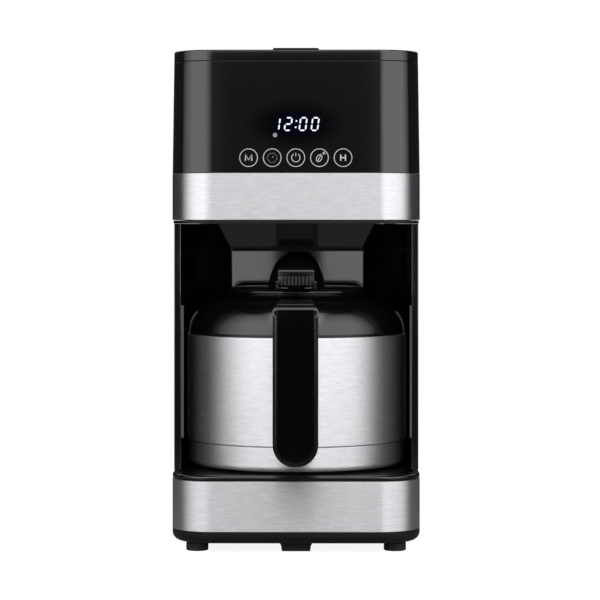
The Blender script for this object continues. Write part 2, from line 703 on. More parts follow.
def camera():
    data = bpy.data.cameras.new("Camera")
    data.lens, data.sensor_width, data.shift_y = LENS, SENSOR, LENS_SHIFT
    obj = bpy.data.objects.new("Camera", data)
    bpy.context.scene.collection.objects.link(obj)
    obj.location = Vector((EYE_ASIDE, FRONT - LENS_DISTANCE, EYE_HEIGHT)) * MM
    obj.rotation_euler = (math.radians(90), 0, math.radians(EYE_TURN))
    bpy.context.scene.camera = obj


def floor():
    """A pale floor that fades into the white room, and is seen dimmer in reflections near the machine."""
    half = 4.0
    bm = bmesh.new()
    bmesh.ops.create_grid(bm, x_segments=1, y_segments=1, size=half / MM)
    obj = new_piece("floor", bm)
    material, nodes = new_material("Studio floor")
    place = nodes.place()
    seen = nodes.add("ShaderNodeLightPath").outputs["Is Camera Ray"]
    away = nodes.ramp(nodes.vector_maths("LENGTH", place), 0.35, 0.9)
    glow = nodes.mixed(away, (0.90, 0.90, 0.90), (1.0, 1.0, 1.0))
    direct = nodes.mixed(away, (0.28, 0.28, 0.28), (0.0, 0.0, 0.0))
    reflected = nodes.mixed(away, (0.25, 0.25, 0.25), (0.01, 0.01, 0.01))
    across, ahead, _ = nodes.add("ShaderNodeSeparateXYZ", {0: place}).outputs
    aside = nodes.ramp(nodes.maths("ABSOLUTE", across), 0.3, 0.7)
    shine = nodes.maths("MULTIPLY", aside, nodes.ramp(ahead, -0.45, -0.8))
    links = {"Base Color": nodes.mixed(seen, reflected, direct), "Emission Color": glow}
    links["Emission Strength"] = nodes.maths("MAXIMUM", seen, shine)
    shader(nodes, links, **{"Roughness": 0.9, "Specular IOR Level": 0.0})
    obj.data.materials.append(material)


def surroundings():
    """A white room to the eye, and a dim one to the reflections, so that polished black stays black."""
    world = bpy.data.worlds.new("Studio")
    bpy.context.scene.world = world
    world.use_nodes = True
    nodes = Nodes(world.node_tree)
    seen = nodes.add("ShaderNodeLightPath").outputs["Is Camera Ray"]
    dim = nodes.add("ShaderNodeBackground", {"Color": (0.03, 0.03, 0.031, 1), "Strength": 1.0})
    white = nodes.add("ShaderNodeBackground", {"Color": (1, 1, 1, 1), "Strength": 1.0})
    room = nodes.add("ShaderNodeMixShader", {0: seen, 1: dim.outputs[0], 2: white.outputs[0]})
    nodes.add("ShaderNodeOutputWorld", {"Surface": room.outputs[0]})


class COFFEE_OT_stage(Operator):
    """Camera, pale floor, studio lights and surroundings"""

    bl_idname = "coffee.stage"
    bl_label = "Stage"

    def execute(self, context):
        context.scene.view_settings.view_transform = "Standard"
        camera()
        floor()
        surroundings()
        lights()
        return {"FINISHED"}


# ---- Base ----
def base_skirt(corner):
    """The pan's outer wall: a rounded skirt, and above it the recess that the steel band stands in."""
    wall, recess, seat = 3.8, 1.3, 15.8
    under, top = PAN_LOW.z, PAN_HIGH.z
    profile = [(6.2, under), (0, under, 6), (0, seat, 0.3), (recess, seat), (recess, top)]
    profile += [(wall, top), (wall, seat + 2), (wall + 6, under + 2.5)]
    return smooth(loft("base_skirt", [body_ring(inset, z, corner) for inset, z in eased(profile, steps=8)]))


def deck(corner):
    """The black deck on the pan, with a shallow groove inside its rounded edge."""
    _, high = box_mm("base_deck")
    top, under, groove = high.z, PAN_HIGH.z + GAP, high.z - 0.5
    profile = [(0.9, under), (0.1, under + 0.5, 0.4), (0.1, top, 1.5), (4.6, top)]
    profile += [(5.0, groove), (5.7, groove), (6.1, top)]
    return smooth(loft("deck", [body_ring(inset, z, corner) for inset, z in eased(profile)]))


def rest_plate(sides):
    low, high = box_mm("carafe_rest")
    under, top, groove = low.z - 0.25, high.z, high.z - 0.35
    profile = [(0, under), (high.x, under), (high.x, top, 0.35)]
    for radius in (60, 46, 32, 18):
        profile += [(radius + 1.0, top), (radius + 0.6, groove), (radius - 0.6, groove), (radius - 1.0, top)]
    return smooth(turned("rest_plate", eased([*profile, (0, top)]), AXIS, sides), 20.0)


def foot_shape():
    low, high = box_mm("foot_front_left")
    radius, top = (high.x - low.x) / 2, high.z
    neck = radius - 0.8
    profile = [(0, 0), (radius, 0, 0.9), (radius, top - 1.5, 0.5), (neck, top - 1.2), (neck, top), (0, top)]
    return turned("feet", eased(profile), sides=48)


def centre_of(node):
    low, high = box_mm(node)
    return (low + high) / 2


def spread(obj, nodes, material):
    """Copies a shape made at the origin to the four places of the nodes, two by two."""
    first, last = centre_of(nodes[0]), centre_of(nodes[-1])
    span = last - first
    level = abs(span.z) < 1
    first = Vector((first.x, first.y if level else 0, 0 if level else first.z))
    across, up = Vector((span.x, 0, 0)), Vector((0, span.y, span.z))
    places = {"first": first * MM, "across": across * MM, "up": up * MM}
    return grow(obj, "copies", columns=2, rows=2, material=MATERIALS[material], **places)


def in_a_row(obj, count, first, step, material):
    """Copies a shape along a straight row, from a first shift by a step, both in millimetres."""
    places = {"first": Vector(first) * MM, "across": Vector(step) * MM, "up": (0, 0, 0)}
    return grow(obj, "copies", columns=count, rows=1, material=MATERIALS[material], **places)


FEET = ["foot_front_left", "foot_front_right", "foot_rear_left", "foot_rear_right"]
BASE_SCREWS = [f"base_screw_{i}" for i in (1, 2, 3, 4)]
REAR_SCREWS = [f"rear_screw_{i}" for i in (1, 2, 3, 4)]


def screw_head(name, radius, top, foot):
    """A domed head with a cross recess, made about the upright axis with its face at z = top."""
    rise = math.copysign(0.7, foot - top)
    profile = [(0, top), (radius - 0.9, top), (radius, top + rise, 0.3), (radius, foot), (0, foot)]
    head = turned(name, eased(profile, steps=3), sides=32)
    length, width, depth = 2.0, 0.35, 0.5
    arms = ((length, width), (width, length))
    return combine(head, [block("slot", (-x, -y, top - depth), (x, y, top + depth)) for x, y in arms])


def front_foot_block():
    """The wide rubber block under the middle of the front, with flared sides."""
    low, high = box_mm("foot_front_centre")
    right = [(10.3, 0, 0.8), (10.8, 3.9), (high.x, high.z)]
    left = [(low.x, high.z), (-10.8, 3.9), (-10.3, 0, 0.8)]
    return soften(prism("front_foot_block", eased([*right, *left], closed=True), "Y", low.y, high.y), 0.5)


class COFFEE_OT_base(Operator):
    """Base pan with its rounded skirt, deck, rest plate, feet and screws"""

    bl_idname = "coffee.base"
    bl_label = "Base"

    def execute(self, context):
        sizes = sizes_of(context)
        corner = sizes.corner / MM
        fit(base_skirt(corner), "body", "satin_black", "base_pan")
        fit(deck(corner), "body", "gloss_black", "base_deck")
        fit(rest_plate(sizes.turned_sides), "body", "satin_black", "carafe_rest")
        feet = smooth(spread(foot_shape(), FEET, "rubber_black"))
        fit(feet, "body", "rubber_black", *FEET)
        fit(front_foot_block(), "body", "rubber_black", "foot_front_centre")
        low, high = box_mm(BASE_SCREWS[0])
        head = screw_head("base_screws", (high.x - low.x) / 2, low.z, low.z + 1.8)
        screws = spread(head, BASE_SCREWS, "screw_steel")
        fit(smooth(screws), "body", "screw_steel", *BASE_SCREWS)
        return {"FINISHED"}


def steel_band(node, corner, thickness):
    """A band bent round the front and the sides, in metres, along the middle of its thickness."""
    low, high = box_mm(node)
    middle = thickness / MM / 2
    x, y, z = high.x - middle, low.y + middle, (low.z + high.z) / 2
    path = edge_lines(f"{node}_steel", [[(-x, high.y, z), (-x, y, z), (x, y, z), (x, high.y, z)]])
    sizes = {"thickness": thickness, "height": (high.z - low.z) * MM, "edge_rounding": 0.3 * MM}
    sizes["bend_radius"] = corner - thickness / 2
    return smooth(grow(path, "band", material=MATERIALS["brushed_steel"], **sizes), 50.0)


class COFFEE_OT_bands(Operator):
    """The two brushed steel bands"""

    bl_idname = "coffee.bands"
    bl_label = "Steel Bands"

    def execute(self, context):
        sizes = sizes_of(context)
        for node in ("base_band", "head_band"):
            fit(steel_band(node, sizes.corner, sizes.band_thickness), "body", "brushed_steel", node)
        return {"FINISHED"}


# ---- Column ----
def side_panel(side, corner):
    """A side wall that turns the rear corner. The right one has the slot for the water gauge."""
    low, high = box_mm("side_panel_right")
    outer, wall = high.x, 5.0
    inner, rear, radius = outer - wall, high.y, corner - 0.4
    outline = [(low.x, rear), (outer, rear, radius), (outer, low.y, 0.7), (inner, low.y, 0.7)]
    outline += [(inner, rear - wall, radius - wall), (low.x, rear - wall)]
    mirrored = [(side * x, y) for x, y in eased(outline, closed=True, steps=12)]
    top = high.z + 0.2  # nearly closes the gap under the head
    name = "side_panel_skin_" + ("right" if side > 0 else "left")
    panel = prism(name, mirrored, "Z", low.z, top)
    if side > 0:
        low, high = box_mm("water_gauge_window")
        room = Vector((2, GAP, GAP))
        combine(panel, [block("slot", low - room, high + room)])
    return soften(panel, 0.25, 2)


def niche_back():
    """The back of the carafe's bay: a flat middle with a slanting wing on each side."""
    low, high = box_mm("niche_back_panel")
    fold, wall = 52.4, 3.0
    back = high.y - wall
    outline = [(-high.x, low.y), (-fold, back, 1.2), (fold, back, 1.2), (high.x, low.y), (high.x, low.y + 5)]
    outline += [(fold + 1, high.y, 1.2), (-fold - 1, high.y, 1.2), (-high.x, low.y + 5)]
    return smooth(prism("niche_back", eased(outline, closed=True), "Z", low.z, high.z), 20.0)


def rear_screws():
    low, high = box_mm(REAR_SCREWS[0])
    head = screw_head("rear_screws", (high.z - low.z) / 2, 0.0, -0.6)
    head.data.transform(Matrix.Rotation(math.radians(-90), 4, "X"))
    head.data.transform(Matrix.Translation((0, high.y * MM, 0)))
    return smooth(spread(head, REAR_SCREWS, "screw_steel"))


def gauge_marks():
    """The level marks printed on the water gauge window."""
    low, high = box_mm("water_gauge_window")
    mark = block("gauge_marks", (high.x - 0.1, low.y + 1, 0), (high.x + 0.08, high.y - 4, 0.5))
    return in_a_row(mark, 8, (0, 0, low.z + 12), (0, 0, 15.5), "key_print")


class COFFEE_OT_column(Operator):
    """Side panels, niche back, rear cover screws and the water gauge's marks"""

    bl_idname = "coffee.column"
    bl_label = "Column"

    def execute(self, context):
        corner = sizes_of(context).corner / MM
        for side, node in ((-1, "side_panel_left"), (1, "side_panel_right")):
            fit(side_panel(side, corner), "body", "gloss_black", node)
        fit(niche_back(), "body", "gloss_black", "niche_back_panel")
        fit(rear_screws(), "body", "screw_steel", *REAR_SCREWS)
        fit(gauge_marks(), "body", "smoke_clear", finish="key_print")
        return {"FINISHED"}


# ---- Head ----
LID_INSET = 1.25  # how far the lid and the cap behind it stand in from the base's outline
WELL_WIDTH, WELL_DEPTH = 122, 106  # the hopper's outside above its slope


def casing(corner):
    """The head's black upper wall, which leans in a little and steps in behind the steel band."""
    top, under, recess, wall = CASING_HIGH.z, CASING_LOW.z, 1.3, 3.8
    step = BAND_HIGH.z + 0.2
    outside = [(recess, under), (recess, step), (0.05, step, 0.35), (1.2, top, 0.3)]
    profile = eased([*outside, (wall, top), (wall, under)], closed=True)
    rings = [body_ring(inset, z, corner) for inset, z in profile]
    return smooth(loft("head_casing", rings, hoop=True))


def floor_plate(corner):
    """The head's underside, cut out for the hopper, the tank and the riser tube."""
    low, high = box_mm("head_floor")
    profile = eased([(1.0, low.z), (0.7, low.z, 0.2), (0.7, high.z)])
    plate = loft("head_floor_plate", [body_ring(inset, z, corner) for inset, z in profile])
    tank_low, tank_high = box_mm("water_tank")
    room = Vector((0.5, 0.5))
    heights = (230, 245)  # from below the plate to above it
    tank = [rounded_ring(tank_low.xy - room, tank_high.xy + room, 20.5, z) for z in heights]
    well = [well_ring(WELL_WIDTH, WELL_DEPTH, 6, z) for z in heights]
    riser = rod("cut", 6, "Z", *heights, (74, REAR - 34))
    return smooth(combine(plate, [loft("cut", well), loft("cut", tank), riser]))


def hopper():
    """The well that tapers over the carafe: width, depth, corner radius and height of each ring, outside
    first and then back down the inside."""
    low, high = box_mm("filter_well")
    rings = [
        (98.6, 84.6, 3, low.z),
        (99.4, 85.2, 3, 219.6),
        (100.6, 86.2, 3, 220),
        (116.9, 101, 3.6, 236.4),
        (119, 103, 5, 240),
        (WELL_WIDTH, WELL_DEPTH, 30, 300),
        (126, 110, 38, 319),
        (134, 118, 42, 320),
        (134, 118, 42, high.z),
        (121, 105, 36, high.z),
        (117, 101, 28, 300),
        (114, 98, 5, 240),
        (112, 96, 3, 236.4),
        (95.5, 81, 2, 219.6),
    ]
    body = loft("filter_hopper", [well_ring(*ring) for ring in rings])
    return soften(combine(body, [rod("cut", 13, "Z", 210, 225, AXIS, 48)]), 0.35, 2, 25.0)


def lid_ring(inset, z, corner, rear):
    edge = LID_INSET + inset
    radii = (max(0.4, 1.2 - inset), corner - edge)
    return rounded_ring((-HALF_WIDTH + edge, FRONT + edge), (HALF_WIDTH - edge, rear - inset), radii, z)


def lid_slab(name, outline, z0, z1):
    """A flat slab with a rounded upper edge. The outline gives its ring at an inset and a height."""
    profile = eased([(0.2, z0), (0, z0 + 0.15), (0.1, z1, 1.1), (5, z1)], steps=5)
    return loft(name, [outline(inset, z) for inset, z in profile])


def rear_cap(corner):
    """The fixed cap behind the lid, with the two ears that hold the hinge pin."""
    low, high = box_mm("rear_top_cap")

    def outline(inset, z):
        front = HINGE_Y + 4.6 + min(inset, 0.6)
        edge = LID_INSET + inset
        high_corner = (HALF_WIDTH - edge, REAR - edge)
        return rounded_ring((-HALF_WIDTH + edge, front), high_corner, (corner - edge, 0.5), z)

    cap = lid_slab("rear_cap", outline, low.z, high.z)
    radius = 3.6
    ears = []
    for x0, x1 in ((-63, -57), (57, 63)):
        ears.append(rod("ear", radius, "X", x0, x1, (HINGE_Y, HINGE_Z)))
        ears.append(block("ear", (x0, HINGE_Y, HINGE_Z - radius), (x1, HINGE_Y + 6, HINGE_Z + 2.6)))
    return soften(combine(cap, ears, "UNION"), 0.25, 2)


class COFFEE_OT_head(Operator):
    """Head casing, floor plate, filter hopper and the cap behind the lid"""

    bl_idname = "coffee.head"
    bl_label = "Head"

    def execute(self, context):
        corner = sizes_of(context).corner / MM
        fit(casing(corner), "body", "gloss_black", "head_shell", finish="casing_black")
        fit(floor_plate(corner), "body", "satin_black", "head_floor")
        fit(hopper(), "body", "gloss_black", "filter_well")
        fit(rear_cap(corner), "body", "gloss_black", "rear_top_cap")
        return {"FINISHED"}


# ---- Display and touch keys ----
KEY_Z = 284.0
SLANT = 0.13  # sideways lean of the digits, as a share of their height
LIGHT_DEPTH = (-0.12, 0.1)  # the lit pieces' front and back, from the casing's face


def onto_face(obj, proud):
    """Lays a piece drawn about y = 0 onto the head's leaning front face."""
    lean = 1.15 / (CASING_HIGH.z - BAND_HIGH.z)
    for vertex in obj.data.vertices:
        height = vertex.co.z / MM - BAND_HIGH.z
        vertex.co.y += (FRONT + 0.05 + lean * height - proud) * MM
    return obj


# The seven strokes: top, upper left, upper right, middle, lower left, lower right and bottom. For each
# figure, those of them that are lit.
STROKES = "TLRMlrB"
FIGURES = {"1": "Rr", "2": "TRMlB", "0": "TLRlrB"}


def stroke_outline(kind, width, height, thick):
    """The outline of one stroke of a seven-stroke figure, with mitred ends."""
    half, mid, cut = thick / 2, height / 2, thick * 0.95
    if kind in "TMB":
        z = {"T": height - half, "M": mid, "B": half}[kind]
        left, right = cut, width - cut
        upper = [(left, z), (left + half, z + half), (right - half, z + half), (right, z)]
        return [*upper, (right - half, z - half), (left + half, z - half)]
    x = half if kind in "Ll" else width - half
    low, high = (mid + 0.35, height - cut) if kind in "LR" else (cut, mid - 0.35)
    right = [(x, low), (x + half, low + half), (x + half, high - half), (x, high)]
    return [*right, (x - half, high - half), (x - half, low + half)]


def clock_digits(height):
    """12:00 in slanted seven-stroke figures."""
    width, thick = height * 0.55, height * 0.105
    parts = []
    for figure, left in (("1", -17.4), ("2", -8.8), ("0", 1.8), ("0", 10.4)):
        for kind in STROKES:
            if kind in FIGURES[figure]:
                parts.append([(left + x, z) for x, z in stroke_outline(kind, width, height, thick)])
    dot, angles = 0.62, [math.tau * k / 12 for k in range(12)]
    for z in (height * 0.27, height * 0.72):
        parts.append([(-0.45 + dot * math.cos(a), z + dot * math.sin(a)) for a in angles])
    bm = bmesh.new()
    for outline in parts:
        slanted = [(x + SLANT * z, DIGIT_BOTTOM + z) for x, z in outline]
        sides = [[bm.verts.new((x, t, z)) for x, z in slanted] for t in LIGHT_DEPTH]
        join_rings(bm, *sides)
        for side in sides:
            bm.faces.new(side)
    return new_piece("clock_digits", bm)


def arc(radius, centre=(0, 0), start=0.0, end=360.0, steps=40, stretch=1.0, lean=0.0):
    """Points of an arc in front view, optionally of an ellipse that leans over, with angles in degrees."""
    sine, cosine = math.sin(math.radians(lean)), math.cos(math.radians(lean))
    points = []
    for k in range(steps + 1):
        angle = math.radians(start + (end - start) * k / steps)
        x, z = radius * stretch * math.cos(angle), radius * math.sin(angle)
        points.append((centre[0] + x * cosine + z * sine, centre[1] - x * sine + z * cosine))
    return points


def key_symbols():
    """Strokes of the five symbols about their keys' centres: minutes, timer, on and off, strength, hours."""
    minutes = [[(-2.25, -2.2), (-2.25, 2.2), (0, -1.6), (2.25, 2.2), (2.25, -2.2)]]
    hours = [[(-1.65, -2.25), (-1.65, 2.25)], [(1.65, -2.25), (1.65, 2.25)], [(-1.65, 0), (1.65, 0)]]
    power = [arc(3.0, start=122, end=418, steps=36), [(0, 0.9), (0, 3.5)]]
    angles = [math.tau * k / 16 for k in range(16)]
    ticks = [[(r * math.cos(a), r * math.sin(a)) for r in (3.1, 3.6)] for a in angles]
    timer = [*ticks, [(0.1, 0.1), (1.1, 1.1)]]
    crease = [(-1.2, -2.2), (-0.6, -0.8), (0.2, 0.0), (0.7, 1.5)]
    bean = [arc(2.7, (-0.2, -0.3), stretch=0.66, lean=28), crease]
    spark = [[(2.0, 3.2), (4.2, 3.2)], [(3.1, 2.1), (3.1, 4.3)]]
    return [minutes, timer, power, [*bean, *spark], hours]


# The printed symbols: the piece, the radius of its lines and the keys that it is on
PRINTS = (("key_letters", 0.46, (0, 4)), ("key_ticks", 0.17, (1,)), ("key_signs", 0.28, (2, 3)))


def printed_lines(name, lines, wire):
    """Lines of front-view points as flattened ink of the given radius."""
    strokes = edge_lines(name, [[(x, 0, z) for x, z in line] for line in lines])
    return grow(strokes, "wire", radius=wire * MM, sides=10, flatness=0.3, material=MATERIALS["key_print"])


class COFFEE_OT_display(Operator):
    """Lit clock, lamp, and the printed rings and symbols of the touch keys"""

    bl_idname = "coffee.display"
    bl_label = "Display and Keys"

    def execute(self, context):
        sizes = sizes_of(context)
        digits = clock_digits(sizes.digit_height / MM)
        fit(onto_face(digits, 0.02), "body", "display_dark", finish="digit_light")
        lamp = rod("lamp", 1.55, "Y", *LIGHT_DEPTH, (-14.9, 300.2), 24)
        fit(onto_face(lamp, 0.02), "body", "display_dark", finish="lamp_light")
        pitch, count = sizes.key_pitch / MM, sizes.key_count
        ring = printed_lines("key_rings", [arc(sizes.key_radius / MM, steps=64)], 0.28)
        in_a_row(ring, count, (-(count - 1) / 2 * pitch, 0, KEY_Z), (pitch, 0, 0), "key_print")
        fit(smooth(onto_face(ring, 0), 60.0), "body", "gloss_black", finish="key_print")
        symbols = key_symbols()
        for name, wire, keys in PRINTS:
            lines = []
            for key in keys:
                x0 = (key - len(symbols) // 2) * pitch
                lines += [[(x0 + x, KEY_Z + z) for x, z in line] for line in symbols[key]]
            sign = printed_lines(name, lines, wire)
            fit(smooth(onto_face(sign, 0), 60.0), "body", "gloss_black", finish="key_print")
        return {"FINISHED"}


# ---- Top lid ----
def top_lid(corner):
    """The hinged lid: a slab with a finger lip, a notched hinge barrel and a hollow underside."""
    slab_top = LID_HIGH.z - 1.2
    slab = lid_slab("lid_slab", lambda i, z: lid_ring(i, z, corner, HINGE_Y + 0.3), LID_LOW.z, slab_top)
    barrel = rod("barrel", HINGE_Z - LID_LOW.z - 0.02, "X", -86, 86, (HINGE_Y, HINGE_Z))
    lip = [(-17, slab_top - 2), (17, slab_top - 2), (16.2, LID_HIGH.z, 0.9), (-16.2, LID_HIGH.z, 0.9)]
    lip = prism("lip", eased(lip, closed=True), "Y", FRONT + 2.2, FRONT + 11)
    combine(slab, [barrel, lip], "UNION")
    cuts = []
    for x0, x1 in ((-63.5, -56), (56, 63.5)):
        cuts.append(block("notch", (x0, HINGE_Y - 5, 350), (x1, HINGE_Y + 6, 366)))
    edge = 4.5
    low, high = (-HALF_WIDTH + edge, FRONT + edge), (HALF_WIDTH - edge, HINGE_Y - 8)
    cuts.append(loft("pocket", [rounded_ring(low, high, (3, corner - edge), z) for z in (350, 359)]))
    return soften(combine(slab, cuts), 0.3, 2)


def shower_head():
    """The dish under the lid that spreads the water, with its feed channel and a ring of holes."""
    low, high = box_mm("shower_head")
    top = high.z - 0.3
    dish = eased([(0, low.z), (28, low.z, 1.5), (31, low.z + 3, 1), (31, top), (0, top)])
    shower = turned("shower_dish", dish, AXIS, 64)
    channel = block("channel", (-9, AXIS_Y, 351), (9, high.y, high.z - 0.35))
    combine(shower, [channel], "UNION")
    hole = rod("shower_holes", 1.3, "Z", low.z - 2, low.z + 6, (17, 0), 12)
    grow(hole, "ring", copies=12, centre=(0, AXIS_Y * MM, 0), material=MATERIALS["satin_black"])
    return soften(combine(shower, [hole]), 0.4, 2)


class COFFEE_OT_lid(Operator):
    """Hinged top lid with its finger lip, hinge barrel and shower head"""

    bl_idname = "coffee.lid"
    bl_label = "Top Lid"

    def execute(self, context):
        fit(top_lid(sizes_of(context).corner / MM), "top_lid", "gloss_black", "top_lid")
        fit(shower_head(), "top_lid", "satin_black", "shower_head")
        return {"FINISHED"}


# ---- Filter basket ----
def filter_basket():
    """The basket: width, depth, corner radius and height of each ring, up the outside and down the inside."""
    low, high = box_mm("filter_basket")
    rim_under, rim = 322.9, 325
    rings = [
        (60, 26, 12, 226),
        (82, 57, 26, 263),
        (104, 88, 40, 300),
        (115, 99, 44, rim_under),
        (130, 114, 46, rim_under),
        (130, 114, 46, rim),
        (111, 95, 43, rim),
        (100, 84, 38, 300),
        (78, 53, 24, 263),
        (56, 22, 10, 228.5),
    ]
    basket = loft("basket", [well_ring(*ring) for ring in rings])
    adds = [rod("neck", 11, "Z", low.z, 227, AXIS, 48)]
    y0, y1, foot = AXIS_Y - 11, AXIS_Y + 11, rim - 1
    grip = eased([(y0, foot), (y1, foot), (y1, high.z, 4), (y0, high.z, 4)], closed=True)
    for x0, x1 in ((-60, -57), (57, 60)):
        adds.append(prism("grip", grip, "X", x0, x1))
    combine(basket, adds, "UNION")
    combine(basket, [rod("hole", 8, "Z", 216, 226, AXIS, 40), rod("hole", 5.5, "Z", 224, 230, AXIS, 40)])
    return soften(basket, 0.4, 2)


def drip_stop():
    """The valve in the basket's neck: a nose that the carafe pushes, a stem and the sealing disc."""
    low, high = box_mm("drip_stop_valve")
    nose = [(0, low.z), (4.8, low.z), (6.4, low.z + 1.7, 0.8), (6.4, 219, 0.4)]
    stem, disc = [(3, 220), (3, 228.9)], [(7.4, 228.9, 0.4), (7.4, 230.9, 0.4), (0, high.z)]
    return smooth(turned("drip_stop", eased([*nose, *stem, *disc]), AXIS, 48))


def drip_spring(turns):
    low, high = box_mm("drip_stop_spring")
    wire = 0.45
    sizes = {"turns": float(turns), "coil_radius": 5 * MM, "wire_radius": wire * MM}
    sizes["height"] = (high.z - low.z - 2 * wire) * MM
    sizes["place"] = (0, AXIS_Y * MM, (low.z + wire) * MM)
    spring = new_piece("drip_spring", bmesh.new())
    return smooth(grow(spring, "coil", material=MATERIALS["screw_steel"], **sizes), 60.0)


class COFFEE_OT_basket(Operator):
    """Lift-out filter basket with grips, drip stop valve and spring"""

    bl_idname = "coffee.basket"
    bl_label = "Filter Basket"

    def execute(self, context):
        fit(filter_basket(), "filter_basket", "satin_black", "filter_basket")
        fit(drip_stop(), "drip_stop", "silicone", "drip_stop_valve", finish="black_silicone")
        fit(drip_spring(sizes_of(context).spring_turns), "drip_stop", "screw_steel", "drip_stop_spring")
        return {"FINISHED"}


# ---- Carafe ----
def shoulder_curve(bottom):
    """The black shoulder of the carafe, from the steel up to the mouth."""
    points = [(81, bottom), (80.9, 158), (79.3, 165), (75.2, 172.5), (68.5, 179), (60, 183.2), (54, 184.6)]
    return flowing(points)


def steel_shell(sides):
    """The straight steel wall, turned in at its top and bottom edges."""
    r, low, high = CARAFE_RADIUS, SHELL_LOW.z, SHELL_HIGH.z
    outside = [(r - 1.6, low), (r, low, 0.7), (r, high, 0.8), (r - 2, high)]
    inside = [(r - 1.2, high - 2), (r - 1.2, low + 2), (r - 2.5, low + 0.2)]
    profile = eased([*outside, *inside], closed=True)
    return smooth(turned("carafe_steel", profile, AXIS, sides, True))


def base_cup(sides):
    low, high = box_mm("carafe_base_cup")
    r, wall, inner_floor = high.x, 1.3, low.z + 1.4
    outside = [(0, low.z), (r, low.z, 4), (r, high.z, 0.5)]
    inside = [(r - wall, high.z), (r - wall, inner_floor, 3), (0, inner_floor)]
    return smooth(turned("carafe_base", eased([*outside, *inside], steps=8), AXIS, sides))


def liner():
    """The inner vessel: up the outside of its wall from the middle of its floor, and back down the inside."""
    wall = 1.2
    outside = [(0, 62), (66, 62), (72, 68), (74, 78), (74, 138), (68, 150), (50, 158), (45, 163), (45, 172)]

    def inward(radius, z):
        if z < 100:
            z += wall
        elif z < 163:
            z -= wall / 2
        return max(0.0, radius - wall), z

    inside = [inward(*point) for point in reversed(outside)]
    up, down = flowing(outside[1:-1], 4), flowing(inside[1:-1], 4)
    profile = [outside[0], *up, outside[-1], inside[0], *down, inside[-1]]
    return smooth(turned("carafe_liner_wall", profile, AXIS, 96))


def shoulder(sides):
    """The black shoulder with the seat for the lid in its mouth, and the pouring beak."""
    low, _ = box_mm("carafe_collar")
    outer = shoulder_curve(low.z)
    mouth = [(46.8, 184.6), (46.8, 173.5), (49.4, 173.5), (49.4, 181.6)]
    under = [(58.5, 180.6), (66.8, 176.6), (73, 170.6), (76.8, 163.8), (78.2, 157.6), (78.4, low.z)]
    dome = turned("carafe_shoulder", [*outer, *mouth, *flowing(under, 3)], AXIS, sides, True)
    beak = eased([(56, 182), (70, 174.5), (80, 184, 1), (78, 186, 1), (64, 184.8), (56, 184.2)], closed=True)
    beak = prism("beak", [(AXIS_Y + y, z) for y, z in beak], "X", -9, 9)
    return soften(combine(dome, [beak], "UNION"), 0.4, 2)


class COFFEE_OT_carafe(Operator):
    """Insulated steel carafe: shell, base cup, liner and shoulder"""

    bl_idname = "coffee.carafe"
    bl_label = "Carafe"

    def execute(self, context):
        sides = sizes_of(context).turned_sides
        fit(steel_shell(sides), "carafe", "brushed_steel", "carafe_shell", finish="carafe_steel")
        fit(base_cup(sides), "carafe", "brushed_steel", "carafe_base_cup", finish="carafe_steel")
        fit(liner(), "carafe", "liner_steel", "carafe_liner")
        fit(shoulder(sides), "carafe", "gloss_black", "carafe_collar", finish="handle_black")
        return {"FINISHED"}


# ---- Handle ----
def handle_side(low, high):
    """The handle from the side, with y measured from the carafe's axis."""
    front, bottom, top = low.y - AXIS_Y, low.z, high.z
    grip, arm = front + 16, 14  # the back of the grip, and the height of the arm over the hand
    outside = [(-62, top - 0.8), (-72, top, 10), (front, top - 0.4, 11), (front, bottom, 1.5), (-112, bottom)]
    foot = [(-90, bottom + 8, 20), (-76, bottom + 10), (-76, bottom + 22)]
    inside = [(grip, bottom + 22, 14), (grip, top - arm, 14), (-70, top - arm)]
    return eased([*outside, *foot, *inside], closed=True, steps=10)


def handle_front(half, bottom, top, chamfer, rounding=0.0):
    """A front-view outline with cut-off top corners and a half-round bottom."""
    right = [(half, top - chamfer, rounding), (half - chamfer * 0.8, top, rounding)]
    left = [(-x, z, radius) for x, z, radius in reversed(right)]
    end = half - 0.01
    return eased([(half, bottom, end), *right, *left, (-half, bottom, end)], closed=True, steps=24)


def handle(low, high, inlay_low, inlay_high):
    """The handle: its side view trimmed by its front view, less the carafe, with a recess for the panel."""
    side = [(AXIS_Y + y, z) for y, z in handle_side(low, high)]
    piece = prism("carafe_handle", side, "X", -20, 20)
    front = handle_front(16.0, low.z, high.z, 6.0, 2.0)
    combine(piece, [prism("front", front, "Y", low.y - 5, AXIS_Y - 40)], "INTERSECT")
    clear = 0.35
    envelope = [(0, 40), (CARAFE_RADIUS + clear, 40), (CARAFE_RADIUS + clear, 154.3)]
    envelope += [(x + clear, z + clear) for x, z in shoulder_curve(154.6)] + [(0, 186)]
    soften(combine(piece, [turned("envelope", envelope, AXIS, 96)]), 2.0, 4)
    panel = handle_front(inlay_high.x + GAP, inlay_low.z - GAP, inlay_high.z + GAP, 0.6)
    combine(piece, [prism("recess", panel, "Y", low.y - 2, low.y + 1.3)])
    return smooth(piece, 40.0)


class COFFEE_OT_handle(Operator):
    """Carafe handle with its inlaid front panel"""

    bl_idname = "coffee.handle"
    bl_label = "Handle"

    def execute(self, context):
        low, high = box_mm("handle")
        inlay_low, inlay_high = box_mm("handle_inlay")
        body = handle(low, high, inlay_low, inlay_high)
        fit(body, "carafe", "satin_black", "handle", finish="handle_black")
        plate = handle_front(inlay_high.x, inlay_low.z, inlay_high.z, 0.5)
        inlay = prism("handle_panel", plate, "Y", low.y + 0.15, low.y + 1.0)
        fit(soften(inlay, 0.35, 2), "carafe", "satin_black", "handle_inlay", finish="panel_black")
        return {"FINISHED"}


# ---- Carafe lid ----
PIN_Y, PIN_Z = AXIS_Y - 41, 193.2  # the thumb lever's pin
STEM_Y = AXIS_Y - 31  # the pouring valve's stem


def lever_bore():
    return rod("bore", 1.6, "X", -18, 18, (PIN_Y, PIN_Z), 20)


